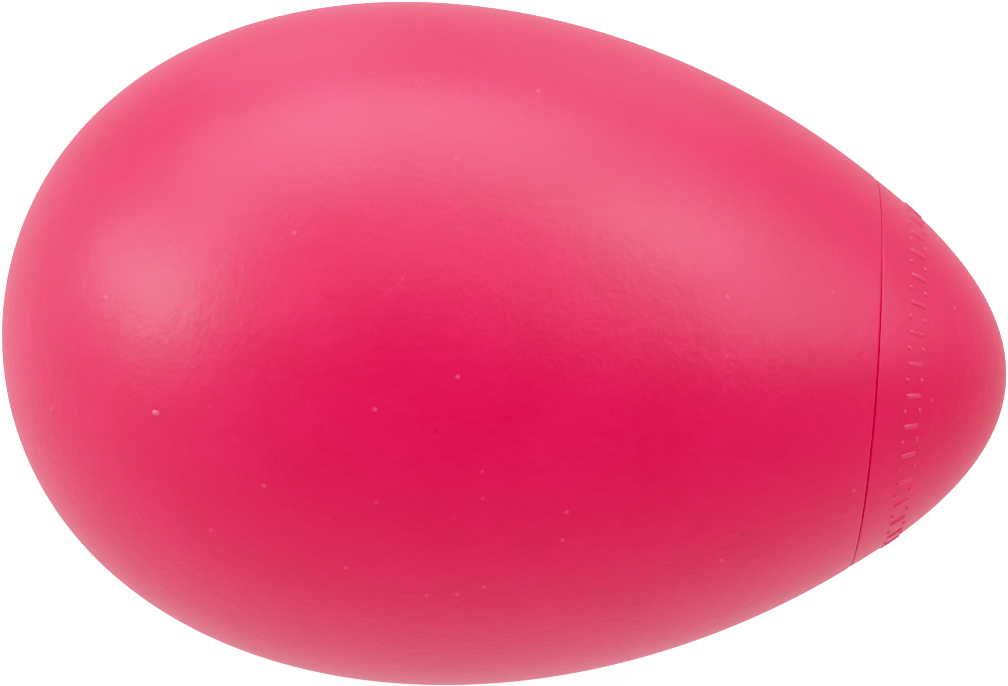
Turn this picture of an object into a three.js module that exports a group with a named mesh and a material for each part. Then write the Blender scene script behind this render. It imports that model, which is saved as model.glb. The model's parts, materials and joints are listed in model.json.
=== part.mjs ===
// Egg shaker: a hollow plastic egg, closed at its narrow end by a snap-in cap, with loose steel pellets
// inside. Millimetres, +Z up. It lies on its side as on a table: Z = 0 is the table, the long axis runs
// along X, and the narrow end points to +X and dips a little, as an egg's does at rest.

import * as THREE from "three";

// The whole egg
const EGG_LENGTH = 60;
const EGG_DIAMETER = 40.64; // at its greatest girth
const EGG_TAPER = [-0.1833, -0.0503, -0.042]; // pull of the oval to its wide end: linear, square, cube
const LEAN = THREE.MathUtils.degToRad(3.84); // dip of the narrow end below level
const WALL = 1.8; // of both mouldings, square to the surface

// The seam between the shell's mouth and the cap
const CAP_DOME = 8.6; // from the cap's edge to its tip
const SEAM_GAP = 0.3;
const CAP_INSET = 0.06; // the cap's edge lies this much inside the egg's outline, so that no lip stands out

// The plug under the cap, which snaps behind the mouth
const PLUG_LENGTH = 4.4;
const PLUG_WALL = 1.4;
const PLUG_CLEARANCE = 0.3; // to the mouth, on the radius
const BEAD_HEIGHT = 0.8; // of the snap ring above the plug
const BEAD_CLEARANCE = 0.3; // between the snap ring and the land of the mouth

// The pellets
const PELLET_DIAMETER = 4;
const PELLET_COUNT = 48;
const PELLET_GAP = 0.3; // to each other, to the wall and to the plug

// Facets. A whole facet is at the bottom of the turn, and these numbers put one that dips by the lean
// under the egg's centre of mass, so that the faceted egg rests as steadily as the real one.
const TURN_FACETS = 36;
const OUTLINE_STEPS = 18;
const BEAD_STEPS = 6;
const PELLET_DETAIL = 1;

const PINK_PLASTIC = { color: 0xd81c4c, roughness: 0.42, metalness: 0 };
const BRIGHT_STEEL = { color: 0xc4c6c8, roughness: 0.25, metalness: 1 };

const halfLength = EGG_LENGTH / 2;
const mouthHeight = halfLength - CAP_DOME - SEAM_GAP; // the plane of the shell's rim
const capHeight = mouthHeight + SEAM_GAP; // the plane of the cap's edge

// Outlines are drawn in a half plane: x is the radius, and y the height along the egg's axis from its
// middle, positive to the narrow end.

/** The oval that both mouldings follow, from the wide end's pole (0) to the narrow end's pole (1). */
class Oval extends THREE.Curve {
  constructor(length, diameter, taper) {
    super();
    this.halfLength = length / 2;
    this.taper = taper;
    this.scale = 1;
    const fullest = Math.max(...this.getPoints(400).map((point) => point.x));
    this.scale = diameter / 2 / fullest;
  }

  getPoint(t) {
    const share = -Math.cos(Math.PI * t);
    const [linear, square, cube] = this.taper;
    const pull = 1 + share * (linear + share * (square + share * cube));
    const radius = this.scale * Math.sin(Math.PI * t) * pull;
    return new THREE.Vector2(radius, this.halfLength * share);
  }

  /** Where along the curve a height is reached. */
  shareAt(height) {
    return Math.acos(-height / this.halfLength) / Math.PI;
  }
}

/** A round dome, from its edge (0) to its pole (1). */
class Dome extends THREE.Curve {
  constructor(edgeRadius, edgeHeight, rise) {
    super();
    Object.assign(this, { edgeRadius, edgeHeight, rise });
  }

  getPoint(t) {
    const turn = (Math.PI / 2) * t;
    return new THREE.Vector2(
      this.edgeRadius * Math.cos(turn),
      this.edgeHeight + this.rise * Math.sin(turn) ** 2,
    );
  }
}

/** Points of a curve between two shares of it, moved towards the inside of the egg by a depth. */
function inset(curve, depth, from, to, steps) {
  return Array.from({ length: steps + 1 }, (_, i) => {
    const t = from + ((to - from) * i) / steps;
    const point = curve.getPoint(t);
    const along = curve.getTangent(t);
    const radius = Math.max(0, point.x - along.y * depth);
    return new THREE.Vector2(radius, point.y + along.x * depth);
  });
}

/** The radius that a run of outline points has at a height. */
function radiusAt(points, height) {
  const next = points.findIndex((point) => point.y >= height);
  const [a, b] = [points[next - 1], points[next]];
  return THREE.MathUtils.mapLinear(height, a.y, b.y, a.x, b.x);
}

/** The height that a run of outline points, closing on the axis, has at a radius. */
function heightAt(points, radius) {
  const next = points.findIndex((point) => point.x <= radius);
  const [a, b] = [points[next - 1], points[next]];
  return THREE.MathUtils.mapLinear(radius, a.x, b.x, a.y, b.y);
}

/** A mesh turned from a profile, with its axis along X and the narrow end at +X. */
function turned(name, profile, look) {
  const halfFacet = Math.PI / TURN_FACETS;
  const geometry = new THREE.LatheGeometry(profile, TURN_FACETS, halfFacet).rotateZ(-Math.PI / 2);
  const mesh = new THREE.Mesh(geometry, new THREE.MeshStandardMaterial(look));
  mesh.name = name;
  return mesh;
}

const oval = new Oval(EGG_LENGTH, EGG_DIAMETER, EGG_TAPER);
const mouthShare = oval.shareAt(mouthHeight);
const shellInside = inset(oval, WALL, 0, mouthShare, OUTLINE_STEPS);
const mouthLand = shellInside.at(-1); // the wall runs straight from here to the rim
const plugRadius = mouthLand.x - PLUG_CLEARANCE;

/** The egg's body: a blown moulding of even wall, open at the narrow end. */
function makeShell() {
  const outside = inset(oval, 0, 0, mouthShare, OUTLINE_STEPS);
  const rim = new THREE.Vector2(mouthLand.x, mouthHeight);
  return turned("egg_shell", [...outside, rim, ...shellInside.toReversed()], PINK_PLASTIC);
}

/** The cap: a hollow dome, with a plug below it that ends in a half-round snap ring. */
function makeCap() {
  const edgeRadius = oval.getPoint(oval.shareAt(capHeight)).x - CAP_INSET;
  const dome = new Dome(edgeRadius, capHeight, CAP_DOME);
  const outside = inset(dome, 0, 0, 1, OUTLINE_STEPS);
  const domeInside = inset(dome, WALL, 0, 1, OUTLINE_STEPS);
  const plugInside = plugRadius - PLUG_WALL;
  const plugEnd = capHeight - PLUG_LENGTH;
  const beadTop = mouthLand.y - BEAD_CLEARANCE;
  const bead = new THREE.EllipseCurve(
    plugRadius, (beadTop + plugEnd) / 2, BEAD_HEIGHT, (beadTop - plugEnd) / 2,
    -Math.PI / 2, Math.PI / 2,
  ).getPoints(BEAD_STEPS);
  const profile = [
    ...domeInside.filter((point) => point.x < plugInside).reverse(),
    new THREE.Vector2(plugInside, heightAt(domeInside, plugInside)),
    new THREE.Vector2(plugInside, plugEnd),
    ...bead,
    new THREE.Vector2(plugRadius, capHeight),
    ...outside,
  ];
  return turned("end_cap", profile, PINK_PLASTIC);
}

/** The places of the pellets: the lowest of a staggered grid that leaves each its own upright lane. */
function pelletPlaces() {
  const depth = WALL + PELLET_GAP + PELLET_DIAMETER / 2;
  const reach = inset(oval, depth, 0, mouthShare, 400); // where a pellet's centre meets the wall
  const lowestX = reach[0].y;
  const highestX = capHeight - PLUG_LENGTH - PELLET_GAP - PELLET_DIAMETER / 2;
  const pitch = PELLET_DIAMETER + PELLET_GAP;
  const rowPitch = pitch * Math.sin(Math.PI / 3);
  const rows = Math.floor(EGG_DIAMETER / 2 / rowPitch);
  const columns = Math.floor(halfLength / pitch);
  const places = [];
  for (let row = -rows; row <= rows; row += 1) {
    for (let column = -columns; column <= columns; column += 1) {
      const x = pitch * (column + (Math.abs(row) % 2) / 2);
      const y = rowPitch * row;
      if (x <= lowestX || x >= highestX) continue;
      const headroom = radiusAt(reach, x) ** 2 - y ** 2;
      if (headroom <= 0) continue;
      const z = -Math.sqrt(headroom);
      places.push({ point: new THREE.Vector3(x, y, z), travel: -2 * z });
    }
  }
  const height = ({ point }) => point.z * Math.cos(LEAN) - point.x * Math.sin(LEAN);
  return places.sort((a, b) => height(a) - height(b)).slice(0, PELLET_COUNT);
}

/** A loose pellet at its place on the floor of the shell. */
function makePellet(place, index) {
  const geometry = new THREE.IcosahedronGeometry(PELLET_DIAMETER / 2, PELLET_DETAIL);
  const mesh = new THREE.Mesh(geometry, new THREE.MeshStandardMaterial(BRIGHT_STEEL));
  mesh.name = "pellet_" + String(index + 1).padStart(2, "0");
  mesh.position.copy(place.point);
  mesh.userData.travel = place.travel; // from the floor straight up to the far wall
  return mesh;
}

const egg = new THREE.Group();
egg.add(makeShell(), makeCap(), ...pelletPlaces().map(makePellet));
egg.rotation.y = LEAN;

// The origin is the point of the table below the middle of the egg's box.
const eggShaker = new THREE.Group();
eggShaker.add(egg);
const box = new THREE.Box3().setFromObject(eggShaker, true);
egg.position.set(-(box.min.x + box.max.x) / 2, -(box.min.y + box.max.y) / 2, -box.min.z);

export default eggShaker;
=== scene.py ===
import bpy
import json
import math
from mathutils import Matrix, Vector

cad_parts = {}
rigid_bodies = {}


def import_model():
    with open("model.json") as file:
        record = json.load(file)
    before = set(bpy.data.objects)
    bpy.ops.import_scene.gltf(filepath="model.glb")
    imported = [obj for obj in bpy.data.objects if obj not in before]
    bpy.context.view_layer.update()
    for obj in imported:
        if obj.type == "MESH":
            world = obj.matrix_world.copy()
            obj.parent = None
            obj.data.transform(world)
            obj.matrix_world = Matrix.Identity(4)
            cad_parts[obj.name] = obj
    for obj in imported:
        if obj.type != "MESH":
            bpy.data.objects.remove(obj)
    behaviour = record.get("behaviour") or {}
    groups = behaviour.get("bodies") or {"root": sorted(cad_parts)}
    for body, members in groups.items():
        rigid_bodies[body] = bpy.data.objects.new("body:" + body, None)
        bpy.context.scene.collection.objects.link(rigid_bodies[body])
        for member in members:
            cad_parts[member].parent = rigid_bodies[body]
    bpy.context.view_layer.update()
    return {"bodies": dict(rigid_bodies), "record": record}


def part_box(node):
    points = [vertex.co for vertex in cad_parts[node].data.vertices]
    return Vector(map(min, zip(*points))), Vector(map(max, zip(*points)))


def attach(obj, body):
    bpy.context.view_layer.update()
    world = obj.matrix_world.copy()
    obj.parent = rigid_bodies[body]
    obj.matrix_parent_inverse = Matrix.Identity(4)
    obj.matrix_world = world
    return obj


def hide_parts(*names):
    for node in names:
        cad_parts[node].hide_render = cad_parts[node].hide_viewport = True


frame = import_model()
scene = bpy.context.scene

# ---------------------------------------------------------------------------------------------------
# EGG SHELL. The egg's body is one blow-moulded piece of pink polypropylene with an even wall.
# It is open at the narrow end, where its rounded lip meets the cap, and it lies on its side.
# ---------------------------------------------------------------------------------------------------
EGG_HALF_LENGTH = 0.030
EGG_RADIUS = 0.02032
EGG_TAPER = (-0.1833, -0.0503, -0.042)  # linear, square and cube; a fitting program's results
WALL = 0.0018
SEAM = 0.0213  # how far past the egg's middle the seam lies
SEAM_HALF_GAP = 0.000003
LIP_ROUND = 0.00014
GROOVE_DEPTH = 0.00009  # how deep the roundings beside the seam go
LAND = 0.0010  # the straight stretch of the wall behind the lip
EDGE_SUPPORT = 0.00005  # from a rounding to the outline point that holds the surface flat beside it
EDGE_CLEAR = 0.00006  # no other outline point lies this near a rounding
EGG_FACETS = 224


def oval_point(share):
    """A point of the egg's outline, as (along the axis, radius), from the wide pole (0) to the narrow (1)."""
    along = -math.cos(math.pi * share)
    linear, square, cube = EGG_TAPER
    pull = 1 + along * (linear + along * (square + along * cube))
    return Vector((along * EGG_HALF_LENGTH, math.sin(math.pi * share) * pull))


girth = max(oval_point(step / 800).y for step in range(801))


def egg_outline(share):
    point = oval_point(share)
    return Vector((point.x, point.y * EGG_RADIUS / girth))


def share_at(along):
    return math.acos(-along / EGG_HALF_LENGTH) / math.pi


def run(curve, first, last, steps):
    """Points of a curve from one share of it to another."""
    return [curve(first + (last - first) * step / steps) for step in range(steps + 1)]


def inset(points, depth):
    """A run of outline points moved square to itself, towards the inside of the egg."""
    moved = []
    for index, point in enumerate(points):
        ahead = points[min(index + 1, len(points) - 1)]
        behind = points[max(index - 1, 0)]
        along = (ahead - behind).normalized()
        moved.append(Vector((point.x + along.y * depth, max(0.0, point.y - along.x * depth))))
    return moved


def rounded(before, corner, after, first_reach, last_reach, steps=6):
    """The corner of an outline, rounded by a curve that starts and ends these reaches from it."""
    start = corner + (before - corner).normalized() * first_reach
    end = corner + (after - corner).normalized() * last_reach
    pull = (start + 2 * corner + end) / 4
    points = []
    for step in range(steps + 1):
        t = step / steps
        points.append(start * (1 - t) ** 2 + pull * (2 * t * (1 - t)) + end * t**2)
    return points


# The way the egg lies: its narrow end dips, and its lowest point rests on the floor.
palm = next(mount for mount in frame["record"]["mounts"] if mount["name"] == "palm_grip")
egg_axis = Vector(palm["axis"]).normalized()
egg_lean = math.atan2(-egg_axis.z, egg_axis.x)
resting_height = max(
    point.x * math.sin(egg_lean) + point.y * math.cos(egg_lean)
    for point in run(egg_outline, 0, 1, 2000)
)
shell_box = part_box("egg_shell")
cap_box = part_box("end_cap")
egg_middle = Vector((
    (shell_box[0].x + cap_box[1].x) / 2,
    (shell_box[0].y + shell_box[1].y) / 2,
    shell_box[0].z + resting_height,
))


def tree_socket(tree, name, kind, subtype=None):
    """A named input of a tree, and the identifier that sets it."""
    socket = tree.interface.new_socket(name=name, in_out="INPUT", socket_type=kind)
    if subtype:
        socket.subtype = subtype
    return socket.identifier


def wired(tree, kind, settings=None, **inputs):
    """A node with its settings, and its inputs either linked to another node's socket or given a value."""
    node = tree.nodes.new(kind)
    for name, value in (settings or {}).items():
        setattr(node, name, value)
    for name, value in inputs.items():
        numbered = name[0] == "i" and name[1:].isdigit()
        key = int(name[1:]) if numbered else name.replace("_", " ")
        if isinstance(value, bpy.types.NodeSocket):
            tree.links.new(value, node.inputs[key])
        else:
            node.inputs[key].default_value = value
    return node


def maths(tree, operation, first, second=0.0):
    node = wired(tree, "ShaderNodeMath", {"operation": operation}, i0=first, i1=second)
    return node.outputs[0]


def blended(tree, share, first, second):
    """A colour between two others, each a value or another node's."""
    node = wired(tree, "ShaderNodeMix", {"data_type": "RGBA"}, i0=share, i6=first, i7=second)
    return node.outputs[2]


def tree_end(tree, source, geometry):
    """Every tree ends alike: what it made is made real, and gets its material."""
    tree.interface.new_socket(name="Geometry", in_out="OUTPUT", socket_type="NodeSocketGeometry")
    real = wired(tree, "GeometryNodeRealizeInstances", Geometry=geometry)
    painted = wired(
        tree, "GeometryNodeSetMaterial",
        Geometry=real.outputs[0], Material=source.outputs["Material"],
    )
    wired(tree, "NodeGroupOutput", i0=painted.outputs[0])


def new_tree(name, sizes):
    """An empty tree with named inputs for its sizes, and the identifiers that set them."""
    tree = bpy.data.node_groups.new(name, "GeometryNodeTree")
    keys = {"Geometry": tree_socket(tree, "Geometry", "NodeSocketGeometry")}
    for label, kind, subtype in sizes:
        keys[label] = tree_socket(tree, label, "NodeSocket" + kind, subtype=subtype)
    keys["Material"] = tree_socket(tree, "Material", "NodeSocketMaterial")
    return tree, keys, tree.nodes.new("NodeGroupInput")


def turning_tree():
    """Turns the outline that it is given round the X axis, closes it, and lays it down as the egg lies."""
    tree, keys, source = new_tree("turned_moulding", [
        ("Facets", "Int", None), ("Lean", "Float", "ANGLE"), ("Middle", "Vector", "XYZ"),
    ])
    outline = source.outputs["Geometry"]
    count = wired(tree, "GeometryNodeAttributeDomainSize", Geometry=outline).outputs["Point Count"]
    around = maths(tree, "ADD", source.outputs["Facets"], 1.0)
    sheet = wired(
        tree, "GeometryNodeMeshGrid",
        Size_X=1.0, Size_Y=1.0, Vertices_X=count, Vertices_Y=around,
    )
    at = wired(
        tree, "ShaderNodeSeparateXYZ",
        Vector=tree.nodes.new("GeometryNodeInputPosition").outputs[0],
    )
    last_row = maths(tree, "SUBTRACT", count, 1.0)
    row = maths(tree, "MULTIPLY", maths(tree, "ADD", at.outputs["X"], 0.5), last_row)
    turn = maths(tree, "MULTIPLY", maths(tree, "ADD", at.outputs["Y"], 0.5), math.tau)
    whole_row = wired(tree, "FunctionNodeFloatToInt", {"rounding_mode": "ROUND"}, Float=row)
    drawn = wired(
        tree, "GeometryNodeSampleIndex", {"data_type": "FLOAT_VECTOR"},
        Geometry=outline, Index=whole_row.outputs[0],
        Value=tree.nodes.new("GeometryNodeInputPosition").outputs[0],
    )
    point = wired(tree, "ShaderNodeSeparateXYZ", Vector=drawn.outputs["Value"])
    turned = wired(
        tree, "ShaderNodeCombineXYZ",
        X=point.outputs["X"],
        Y=maths(tree, "MULTIPLY", point.outputs["Z"], maths(tree, "SINE", turn)),
        Z=maths(tree, "MULTIPLY", point.outputs["Z"], maths(tree, "COSINE", turn)),
    )
    placed = wired(tree, "GeometryNodeSetPosition", Geometry=sheet.outputs[0], Position=turned.outputs[0])
    closed = wired(tree, "GeometryNodeMergeByDistance", Geometry=placed.outputs[0], Distance=1e-7)
    smooth = wired(tree, "GeometryNodeSetShadeSmooth", Geometry=closed.outputs[0])
    lean = wired(tree, "ShaderNodeCombineXYZ", Y=source.outputs["Lean"])
    laid = wired(
        tree, "GeometryNodeTransform",
        Geometry=smooth.outputs[0], Translation=source.outputs["Middle"], Rotation=lean.outputs[0],
    )
    tree_end(tree, source, laid.outputs[0])
    return tree, keys


def grown(name, mesh, tree, keys, material, sizes):
    """Runs a tree on a mesh and keeps the result as a plain mesh."""
    seed = bpy.data.objects.new(name + ".seed", mesh)
    scene.collection.objects.link(seed)
    modifier = seed.modifiers.new("tree", "NODES")
    modifier.node_group = tree
    for label, value in sizes.items():
        modifier[keys[label]] = value
    modifier[keys["Material"]] = material
    graph = bpy.context.evaluated_depsgraph_get()
    made = bpy.data.meshes.new_from_object(seed.evaluated_get(graph), depsgraph=graph)
    seed.modifiers.remove(modifier)
    bpy.data.objects.remove(seed)
    made.name = name
    piece = bpy.data.objects.new(name, made)
    scene.collection.objects.link(piece)
    return piece


def turned_piece(name, outline, material):
    mesh = bpy.data.meshes.new(name + ".outline")
    points = [(point.x, 0.0, point.y) for point in outline]
    mesh.from_pydata(points, [(i, i + 1) for i in range(len(points) - 1)], [])
    tree, keys = turning_tree()
    sizes = {"Facets": EGG_FACETS, "Lean": egg_lean, "Middle": tuple(egg_middle)}
    return grown(name, mesh, tree, keys, material, sizes)


# Both base colours began as a fitting program's results and were then changed.
PLASTIC_DEEP = (0.482, 0.0052, 0.054, 1)
PLASTIC_LIGHT = (0.562, 0.0078, 0.072, 1)
# The pale plastic of the cut gate stub, also mixed into the raised marks as a painted glint.
PLASTIC_CUT_AND_GLINT = (0.90, 0.26, 0.38, 1)
SPECK_SHARE = 0.18  # of the cells that could hold a speck of each kind
SPECK_KINDS = (("Red", 0.25, (0.86, 0.17, 0.27, 1)), ("Green", 0.60, (0.30, 0.002, 0.03, 1)))


def pink_plastic(name, paleness):
    """Satin pink plastic, finely grained, mottled and specked; pale where cut, and on marks as a painted
    glint.
    """
    material = bpy.data.materials.new(name)
    material.use_nodes = True
    tree = material.node_tree
    shader = tree.nodes["Principled BSDF"]
    shader.inputs["Roughness"].default_value = 0.38
    shader.inputs["IOR"].default_value = 1.50
    shader.inputs["Specular IOR Level"].default_value = 0.675
    shader.inputs["Sheen Weight"].default_value = 0.06
    shader.inputs["Sheen Roughness"].default_value = 0.35
    shader.inputs["Subsurface Weight"].default_value = 0.12
    shader.inputs["Subsurface Radius"].default_value = (0.0022, 0.0007, 0.0007)
    shader.inputs["Subsurface Scale"].default_value = 0.6
    place = tree.nodes.new("ShaderNodeTexCoord").outputs["Object"]
    drawn = wired(tree, "ShaderNodeMapping", Vector=place, Scale=(0.4, 1.0, 1.0))
    cloud = wired(tree, "ShaderNodeTexNoise", Vector=place, Scale=160.0, Detail=3.0, Roughness=0.55)
    flow = wired(tree, "ShaderNodeTexNoise", Vector=drawn.outputs[0], Scale=2200.0, Detail=3.0, Roughness=0.6)
    mottle = maths(tree, "ADD", cloud.outputs["Fac"], flow.outputs["Fac"])
    shade = wired(tree, "ShaderNodeMapRange", Value=mottle, From_Min=0.7, From_Max=1.3)
    colour = blended(tree, shade.outputs[0], PLASTIC_DEEP, PLASTIC_LIGHT)
    cells = wired(tree, "ShaderNodeTexVoronoi", Vector=place, Scale=640.0)
    lot = wired(tree, "ShaderNodeSeparateColor", Color=cells.outputs["Color"])
    near = wired(
        tree, "ShaderNodeMapRange",
        Value=cells.outputs["Distance"], From_Min=0.05, From_Max=0.11, To_Min=1.0, To_Max=0.0,
    )
    for channel, depth, tone in SPECK_KINDS:
        chosen = maths(tree, "GREATER_THAN", lot.outputs[channel], 1 - SPECK_SHARE)
        amount = maths(tree, "MULTIPLY", maths(tree, "MULTIPLY", near.outputs[0], chosen), depth)
        colour = blended(tree, amount, colour, tone)
    tree.links.new(blended(tree, paleness, colour, PLASTIC_CUT_AND_GLINT), shader.inputs["Base Color"])
    grain = wired(tree, "ShaderNodeTexNoise", Vector=place, Scale=3000.0, Detail=2.0, Roughness=0.6)
    waves = wired(tree, "ShaderNodeTexNoise", Vector=place, Scale=900.0, Detail=2.0, Roughness=0.5)
    relief = maths(tree, "ADD", grain.outputs["Fac"], maths(tree, "MULTIPLY", waves.outputs["Fac"], 1.2))
    bump = wired(tree, "ShaderNodeBump", Strength=0.35, Distance=0.00006, Height=relief)
    tree.links.new(bump.outputs[0], shader.inputs["Normal"])
    return material


# The shell's outline runs along the outside to the lip, round it, and back along the inside.
plastic = pink_plastic("satin_pink_plastic", 0.0)
mouth = SEAM - SEAM_HALF_GAP
mouth_share = share_at(mouth)
outside = run(egg_outline, 0, mouth_share, 110)
inside = inset(run(egg_outline, 0, share_at(mouth - LAND), 60), WALL)
lip_edge = outside[-1]
rim_edge = Vector((mouth, inside[-1].y))
lip = rounded(outside[-2], lip_edge, rim_edge, LIP_ROUND, GROOVE_DEPTH)
rim = rounded(lip_edge, rim_edge, inside[-1], LIP_ROUND, LIP_ROUND)
before_lip = [point for point in outside[:-1] if (point - lip_edge).length > LIP_ROUND + EDGE_CLEAR]
before_lip.append(lip[0] + (outside[-2] - lip[0]).normalized() * EDGE_SUPPORT)
shell_outline = before_lip + lip + rim + inside[::-1]
egg_shell = turned_piece("shell", shell_outline, plastic)
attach(egg_shell, "egg")
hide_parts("egg_shell")

# ---------------------------------------------------------------------------------------------------
# END CAP. A hollow dome of the same plastic, injection moulded with a plug that snaps into the shell's
# mouth behind a half-round ring. It is pressed home and glued after the pellets are in.
# ---------------------------------------------------------------------------------------------------
CAP_EDGE = SEAM + SEAM_HALF_GAP
CAP_ROUND = 0.00011
CAP_INSET = 0.00003
PLUG_CLEARANCE = 0.0003
PLUG_LENGTH = 0.0044
PLUG_WALL = 0.0014
BEAD_HEIGHT = 0.0008
BEAD_STEPS = 12
BORE_LEAD = 0.0003  # the bore ends this far short of the dome's inside
BORE_EASE = 0.0002  # the dome's inside is followed only where it is this much narrower than the bore
LEDGE_SUPPORT = 0.0002  # from the ledge's inner corner to the outline point before it
LEDGE_RISE = 0.0003  # from that corner to the outline point after it
cap_rise = EGG_HALF_LENGTH - CAP_EDGE
cap_edge_radius = egg_outline(share_at(CAP_EDGE)).y - CAP_INSET


def cap_outline(share):
    """The cap's dome, as (along the axis, radius), from its edge (0) to its tip (1)."""
    turn = share * math.pi / 2
    return Vector((CAP_EDGE + cap_rise * math.sin(turn) ** 2, cap_edge_radius * math.cos(turn)))


dome = run(cap_outline, 0, 1, 72)
plug_radius = inside[-1].y - PLUG_CLEARANCE
bore_radius = plug_radius - PLUG_WALL
plug_end = CAP_EDGE - PLUG_LENGTH
bead_end = inside[-1].x - PLUG_CLEARANCE
bead = [
    Vector((
        (bead_end + plug_end) / 2 - math.cos(math.pi * step / BEAD_STEPS) * (bead_end - plug_end) / 2,
        plug_radius + BEAD_HEIGHT * math.sin(math.pi * step / BEAD_STEPS),
    ))
    for step in range(BEAD_STEPS + 1)
]
edge_corner = dome[0]
ledge = Vector((CAP_EDGE, plug_radius))
edge = rounded(ledge, edge_corner, dome[1], GROOVE_DEPTH, CAP_ROUND)
dome_wall = inset(run(cap_outline, 0, 1, 48), WALL)
dome_inside = [point for point in dome_wall if point.y < bore_radius - BORE_EASE]
bore_top = Vector((dome_inside[0].x - BORE_LEAD, bore_radius))
cap_profile = dome_inside[::-1] + [bore_top, Vector((plug_end, bore_radius))] + bead
cap_profile += [Vector((CAP_EDGE - LEDGE_SUPPORT, plug_radius)), ledge, ledge + Vector((0, LEDGE_RISE))]
cap_profile += edge + [point for point in dome[1:] if (point - edge_corner).length > CAP_ROUND + EDGE_CLEAR]
end_cap = turned_piece("cap", cap_profile, plastic)
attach(end_cap, "egg")
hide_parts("end_cap")

# ---------------------------------------------------------------------------------------------------
# RAISED MARKS. A ring of low bars and pairs of dots, moulded in one with the cap a little past its edge,
# and the stub that the moulding gate leaves on the side of the shell.
# ---------------------------------------------------------------------------------------------------
MARK_ROWS = 34
MARK_RING = 0.00235  # from the cap's edge to the middle of the ring
MARK_WIDTH = 0.00046
MARK_HEIGHT = 0.00009
BAR_LENGTH = 0.00135
DOT_SPREAD = 0.00045
GATE_ALONG = -0.0205
GATE_ANGLE = math.radians(-6.1)  # below level, on the side of the camera
GATE_WIDTH = 0.00046
GATE_LENGTH = GATE_WIDTH * 1.4
GATE_HEIGHT = 0.00007
MARK_SINK = 2.0  # a mark's middle lies this many of its heights below the surface
PAINTED_MARK_GLINT = 0.07  # how pale the marks are, as a painted glint, and the stub from being cut
TRIMMED = 0.24


def mark_tree():
    """Round-ended bars, sunk till a low third shows, at one place along the axis, spaced evenly round it."""
    tree, keys, source = new_tree("raised_marks", [
        ("Count", "Int", None), ("Width", "Float", "DISTANCE"), ("Length", "Float", "DISTANCE"),
        ("Height", "Float", "DISTANCE"), ("Along", "Float", "DISTANCE"), ("Radius", "Float", "DISTANCE"),
        ("Slope", "Float", "ANGLE"), ("First", "Float", "ANGLE"),
        ("Lean", "Float", "ANGLE"), ("Middle", "Vector", "XYZ"),
    ])
    size = source.outputs
    end = wired(
        tree, "GeometryNodeMeshIcoSphere",
        Radius=maths(tree, "MULTIPLY", size["Width"], 0.5), Subdivisions=2,
    )
    reach = maths(tree, "MULTIPLY", maths(tree, "SUBTRACT", size["Length"], size["Width"]), 0.5)
    ahead = wired(tree, "ShaderNodeCombineXYZ", X=reach)
    behind = wired(tree, "ShaderNodeCombineXYZ", X=maths(tree, "MULTIPLY", reach, -1.0))
    ends = tree.nodes.new("GeometryNodeJoinGeometry")
    for shift in (ahead, behind):
        moved = wired(tree, "GeometryNodeTransform", Geometry=end.outputs[0], Translation=shift.outputs[0])
        tree.links.new(moved.outputs[0], ends.inputs[0])
    bar = wired(tree, "GeometryNodeConvexHull", Geometry=ends.outputs[0])
    thickness = maths(tree, "MULTIPLY", size["Height"], 2 * (MARK_SINK + 1))
    flatness = maths(tree, "DIVIDE", thickness, size["Width"])
    depth = wired(tree, "ShaderNodeCombineXYZ", Z=maths(tree, "MULTIPLY", size["Height"], -MARK_SINK))
    flat = wired(tree, "ShaderNodeCombineXYZ", X=1.0, Y=1.0, Z=flatness)
    tilt = wired(tree, "ShaderNodeCombineXYZ", Y=size["Slope"])
    spot = wired(tree, "ShaderNodeCombineXYZ", X=size["Along"], Z=size["Radius"])
    squat = wired(
        tree, "GeometryNodeTransform",
        Geometry=bar.outputs[0], Scale=flat.outputs[0], Translation=depth.outputs[0],
    )
    sunk = wired(
        tree, "GeometryNodeTransform",
        Geometry=squat.outputs[0], Rotation=tilt.outputs[0], Translation=spot.outputs[0],
    )
    stations = wired(tree, "GeometryNodeMeshLine", Count=size["Count"], Offset=(0.0, 0.0, 0.0))
    step = maths(tree, "DIVIDE", math.tau, size["Count"])
    turn = maths(
        tree, "ADD", size["First"],
        maths(tree, "MULTIPLY", tree.nodes.new("GeometryNodeInputIndex").outputs[0], step),
    )
    spin = wired(tree, "ShaderNodeCombineXYZ", X=turn)
    ring = wired(
        tree, "GeometryNodeInstanceOnPoints",
        Points=stations.outputs[0], Instance=sunk.outputs[0], Rotation=spin.outputs[0],
    )
    lean = wired(tree, "ShaderNodeCombineXYZ", Y=size["Lean"])
    laid = wired(
        tree, "GeometryNodeTransform",
        Geometry=ring.outputs[0], Translation=size["Middle"], Rotation=lean.outputs[0],
    )
    smooth = wired(tree, "GeometryNodeSetShadeSmooth", Geometry=laid.outputs[0])
    tree_end(tree, source, smooth.outputs[0])
    return tree, keys


def raised_marks(name, curve, share, material, sizes):
    """Marks on the surface that an outline draws, at a share of it."""
    point = curve(share)
    along = curve(share + 0.001) - curve(share - 0.001)
    piece = grown(name, bpy.data.meshes.new(name + ".seed"), marking, marking_keys, material, {
        "Width": MARK_WIDTH,
        "Height": MARK_HEIGHT,
        "Along": point.x,
        "Radius": point.y,
        "Slope": math.atan2(-along.y, along.x),
        "First": 0.0,
        "Lean": egg_lean,
        "Middle": tuple(egg_middle),
        **sizes,
    })
    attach(piece, "egg")


def dome_share(beyond_edge):
    return math.asin(math.sqrt(beyond_edge / cap_rise)) * 2 / math.pi


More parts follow.
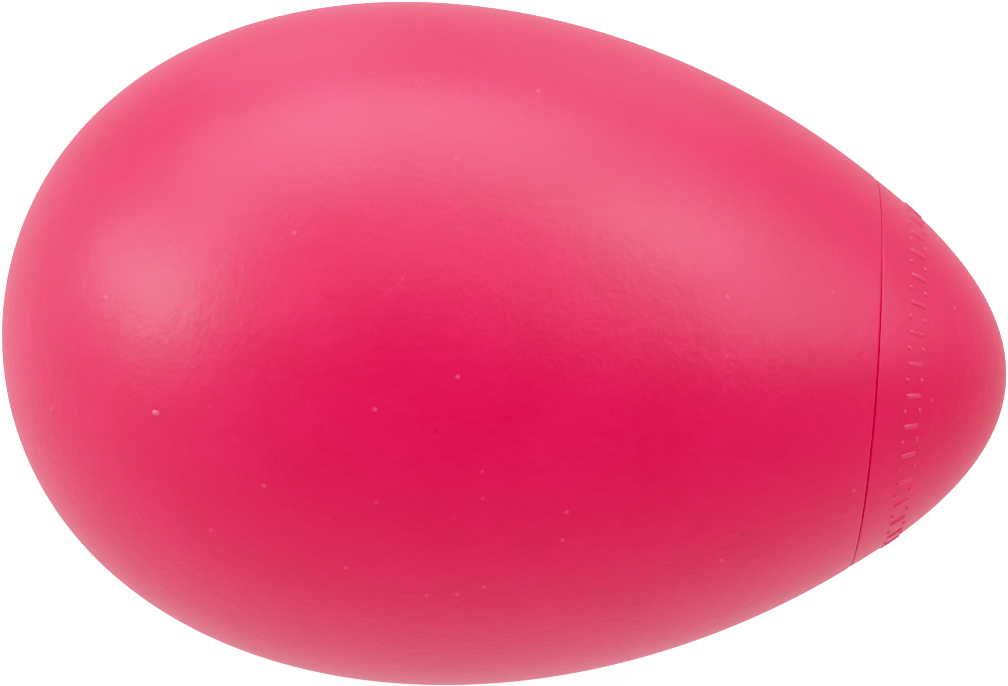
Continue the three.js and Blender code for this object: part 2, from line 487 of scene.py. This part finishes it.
marking, marking_keys = mark_tree()
# The marks are paled a little as a painted glint, standing for the light that their raised tops catch.
glint_painted_plastic = pink_plastic("glint_painted_pink_plastic", PAINTED_MARK_GLINT)
raised_marks("mark_bars", cap_outline, dome_share(MARK_RING), glint_painted_plastic, {
    "Count": MARK_ROWS,
    "Length": BAR_LENGTH,
})
for name, beyond in (("mark_dots_near", MARK_RING - DOT_SPREAD), ("mark_dots_far", MARK_RING + DOT_SPREAD)):
    raised_marks(name, cap_outline, dome_share(beyond), glint_painted_plastic, {
        "Count": MARK_ROWS,
        "Length": MARK_WIDTH,
        "First": math.pi / MARK_ROWS,
    })
raised_marks("gate_stub", egg_outline, share_at(GATE_ALONG), pink_plastic("trimmed_pink_plastic", TRIMMED), {
    "Count": 1,
    "Width": GATE_WIDTH,
    "Length": GATE_LENGTH,
    "Height": GATE_HEIGHT,
    "First": math.pi / 2 - GATE_ANGLE,
})

# ---------------------------------------------------------------------------------------------------
# PELLETS. Loose tumbled steel balls that make the sound: each lies where the model puts it, on the
# floor of the shell, and slides up and down its own lane.
# ---------------------------------------------------------------------------------------------------
PELLET_RADIUS = 0.0020
PELLET_UNEVENNESS = 0.00002
STEEL_DULL = (0.56, 0.56, 0.57, 1)
STEEL_BRIGHT = (0.64, 0.64, 0.65, 1)


def pellet_tree():
    """One ball, a little uneven from tumbling, at its place."""
    tree, keys, source = new_tree("tumbled_pellet", [
        ("Radius", "Float", "DISTANCE"), ("Unevenness", "Float", "DISTANCE"),
        ("Seed", "Float", None), ("Place", "Vector", "XYZ"),
    ])
    ball = wired(tree, "GeometryNodeMeshIcoSphere", Radius=source.outputs["Radius"], Subdivisions=4)
    noise = wired(
        tree, "ShaderNodeTexNoise", {"noise_dimensions": "4D"},
        W=source.outputs["Seed"], Scale=900.0, Detail=1.0,
    )
    swell = maths(tree, "SUBTRACT", noise.outputs["Fac"], 0.5)
    push = maths(tree, "MULTIPLY", swell, source.outputs["Unevenness"])
    offset = wired(
        tree, "ShaderNodeVectorMath", {"operation": "SCALE"},
        i0=tree.nodes.new("GeometryNodeInputNormal").outputs[0], Scale=push,
    )
    uneven = wired(tree, "GeometryNodeSetPosition", Geometry=ball.outputs[0], Offset=offset.outputs[0])
    smooth = wired(tree, "GeometryNodeSetShadeSmooth", Geometry=uneven.outputs[0])
    placed = wired(
        tree, "GeometryNodeTransform", Geometry=smooth.outputs[0], Translation=source.outputs["Place"],
    )
    tree_end(tree, source, placed.outputs[0])
    return tree, keys


def tumbled_steel():
    """Bright steel, dulled by fine scratches and pits from rubbing on its neighbours."""
    material = bpy.data.materials.new("tumbled_steel")
    material.use_nodes = True
    tree = material.node_tree
    shader = tree.nodes["Principled BSDF"]
    shader.inputs["Metallic"].default_value = 1.0
    place = tree.nodes.new("ShaderNodeTexCoord").outputs["Object"]
    haze = wired(tree, "ShaderNodeTexNoise", Vector=place, Scale=1400.0, Detail=4.0)
    dull = wired(tree, "ShaderNodeMapRange", Value=haze.outputs["Fac"], To_Min=0.16, To_Max=0.38)
    tree.links.new(dull.outputs[0], shader.inputs["Roughness"])
    tint = blended(tree, haze.outputs["Fac"], STEEL_DULL, STEEL_BRIGHT)
    tree.links.new(tint, shader.inputs["Base Color"])
    scratch = wired(tree, "ShaderNodeTexNoise", Vector=place, Scale=9000.0, Detail=2.0)
    bump = wired(tree, "ShaderNodeBump", Strength=0.15, Distance=0.00003, Height=scratch.outputs["Fac"])
    tree.links.new(bump.outputs[0], shader.inputs["Normal"])
    return material


steel = tumbled_steel()
ball_tree, ball_keys = pellet_tree()
pellet_bodies = sorted(name for name in frame["bodies"] if name.startswith("pellet_"))
for number, body in enumerate(pellet_bodies):
    low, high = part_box(body)
    pellet = grown("ball" + body[-3:], bpy.data.meshes.new(body + ".seed"), ball_tree, ball_keys, steel, {
        "Radius": PELLET_RADIUS,
        "Unevenness": PELLET_UNEVENNESS,
        "Seed": float(number),
        "Place": tuple((low + high) / 2),
    })
    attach(pellet, body)
    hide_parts(body)

# ---------------------------------------------------------------------------------------------------
# STUDIO. A camera far off and a little above the egg, white paper that only the camera sees, and soft
# light from all round and from softboxes that stand over the egg from right to left. The camera's
# angles, lens and aim are a fitting program's results, rounded.
# ---------------------------------------------------------------------------------------------------
CAMERA_DISTANCE = 0.500
CAMERA_AZIMUTH = math.radians(-1.55)
CAMERA_ELEVATION = math.radians(12)
CAMERA_ROLL = math.radians(0.43)
CAMERA_LENS = 299.6
CAMERA_FILM = 36.0
# The picture is printed with this much of the haze taken off, and with its brightest parts held back.
PRINT_BLACK = 0.054
PRINT_SHOULDER = ((0.45, 0.46), (0.65, 0.685), (1.0, 0.85), (1.4, 0.96), (2.0, 1.1))
AIM_ASIDE = -0.000075
AIM_UP = 0.000347
camera_data = bpy.data.cameras.new("camera")
camera_data.sensor_width = CAMERA_FILM
camera_data.lens = CAMERA_LENS
camera_data.clip_start = 0.01
camera_data.clip_end = 20.0
camera = bpy.data.objects.new("camera", camera_data)
scene.collection.objects.link(camera)
towards_camera = Vector((
    math.sin(CAMERA_AZIMUTH) * math.cos(CAMERA_ELEVATION),
    -math.cos(CAMERA_AZIMUTH) * math.cos(CAMERA_ELEVATION),
    math.sin(CAMERA_ELEVATION),
))
facing = towards_camera.to_track_quat("Z", "Y").to_matrix().to_4x4()
level = facing @ Matrix.Rotation(CAMERA_ROLL, 4, "Z")
aim = egg_middle + level @ Vector((AIM_ASIDE, AIM_UP, 0))
camera.matrix_world = Matrix.Translation(aim + towards_camera * CAMERA_DISTANCE) @ level
scene.camera = camera
scene.view_settings.view_transform = "Standard"
scene.view_settings.use_curve_mapping = True
print_curve = scene.view_settings.curve_mapping
print_curve.black_level = (PRINT_BLACK, PRINT_BLACK, PRINT_BLACK)
print_curve.use_clip = False
print_curve.curves[3].points[1].location = PRINT_SHOULDER[-1]
for point in PRINT_SHOULDER[:-1]:
    print_curve.curves[3].points.new(*point)
for point in print_curve.curves[3].points:
    point.handle_type = "VECTOR"
print_curve.update()

FLOOR_REACH = 2.0
FLOOR_GLOW = 1.4
WALL_HEIGHT = 2.0  # the paper runs up the walls all round, so that low views are white too


def floor_paper():
    """White paper with a faint cloudiness, lit a little from below."""
    material = bpy.data.materials.new("white_paper")
    material.use_nodes = True
    tree = material.node_tree
    shader = tree.nodes["Principled BSDF"]
    shader.inputs["Roughness"].default_value = 0.9
    shader.inputs["Specular IOR Level"].default_value = 0.1
    shader.inputs["Emission Color"].default_value = (1, 1, 1, 1)
    shader.inputs["Emission Strength"].default_value = FLOOR_GLOW
    place = tree.nodes.new("ShaderNodeTexCoord").outputs["Object"]
    cloud = wired(tree, "ShaderNodeTexNoise", Vector=place, Scale=60.0, Detail=4.0)
    tint = blended(tree, cloud.outputs["Fac"], (0.90, 0.90, 0.90, 1), (0.94, 0.94, 0.94, 1))
    tree.links.new(tint, shader.inputs["Base Color"])
    return material


floor_mesh = bpy.data.meshes.new("floor")
floor_corners = [(-1, -1), (1, -1), (1, 1), (-1, 1)]
floor_points = [(FLOOR_REACH * x, FLOOR_REACH * y, z) for z in (0, WALL_HEIGHT) for x, y in floor_corners]
cove_walls = [(side, 4 + side, 4 + (side + 1) % 4, (side + 1) % 4) for side in range(4)]
floor_mesh.from_pydata(floor_points, [], [(0, 1, 2, 3)] + cove_walls)
floor_mesh.materials.append(floor_paper())
floor = bpy.data.objects.new("floor", floor_mesh)
scene.collection.objects.link(floor)
floor.visible_diffuse = False
floor.visible_glossy = False
floor.visible_shadow = False

# The light from all round, in lobes that are strongest towards each of these directions. What comes from
# below stands for the light that the paper would give back, tinted a little by the egg. The strengths
# began as a fitting program's results, rounded, and the one from below was then changed.
SKY_COLOUR = (1, 1, 1, 1)
BOUNCE_COLOUR = (1.03, 0.87, 0.95, 1)
SKY_GLOW = (
    ((0, 0, 1), 1.07), ((0, 0, -1), 1.40), ((-1, 0, 0), 1.36),
    ((1, 0, 0), 0.93), ((0, -1, 0), 0.86), ((0, 1, 0), 0.70),
)
world = bpy.data.worlds.new("studio")
world.use_nodes = True
sky = world.node_tree
heading = sky.nodes.new("ShaderNodeTexCoord").outputs["Generated"]
glow = 0.0
for side, strength in SKY_GLOW:
    lobe = wired(sky, "ShaderNodeVectorMath", {"operation": "DOT_PRODUCT"}, i0=heading, i1=side)
    facing_side = maths(sky, "MAXIMUM", lobe.outputs["Value"], 0.0)
    glow = maths(sky, "ADD", maths(sky, "MULTIPLY", maths(sky, "POWER", facing_side, 2.0), strength), glow)
below = wired(sky, "ShaderNodeVectorMath", {"operation": "DOT_PRODUCT"}, i0=heading, i1=(0, 0, -1))
downward = maths(sky, "MAXIMUM", below.outputs["Value"], 0.0)
sky.links.new(blended(sky, downward, SKY_COLOUR, BOUNCE_COLOUR), sky.nodes["Background"].inputs["Color"])
sky.links.new(glow, sky.nodes["Background"].inputs["Strength"])
scene.world = world

# Softboxes, each given by its angle over the egg, from the right, how far it comes forward, and its watts.
# Most of these watts are a fitting program's results, rounded, and not a lighting plan made by hand.
SOFTBOX_DISTANCE = 0.5
SOFTBOX_SIZE = 0.22
SOFTBOXES = (
    (15, 0.50, 0.297), (45, 0.50, 0.496), (75, 0.50, 0.249),
    (105, 0.50, 0.258), (135, 0.50, 0.256), (165, 0.50, 0.570),
    (20, 0.15, 0.115), (40, 0.15, 0.104), (60, 0.15, 0.135), (80, 0.15, 0.274),
    (100, 0.15, 0.345), (120, 0.15, 0.250), (140, 0.15, 0.066), (160, 0.15, 0.310),
    (30, 0.85, 0.098), (90, 0.85, 0.119), (150, 0.85, 0.084),
    (180, 0.45, 0.120), (70, -0.40, 0.070), (105, -0.40, 0.100),
)
for number, (angle, forward, watts) in enumerate(SOFTBOXES):
    data = bpy.data.lights.new(f"softbox_{number}", "AREA")
    data.shape = "DISK"
    data.size = SOFTBOX_SIZE
    data.energy = watts
    softbox = bpy.data.objects.new(f"softbox_{number}", data)
    scene.collection.objects.link(softbox)
    turn = math.radians(angle)
    reach = math.sqrt(1 - forward**2)
    aside = facing @ Vector((reach * math.cos(turn), reach * math.sin(turn), forward))
    stand = Matrix.Translation(egg_middle + aside * SOFTBOX_DISTANCE)
    softbox.matrix_world = stand @ aside.to_track_quat("Z", "Y").to_matrix().to_4x4()
    softbox.visible_camera = False
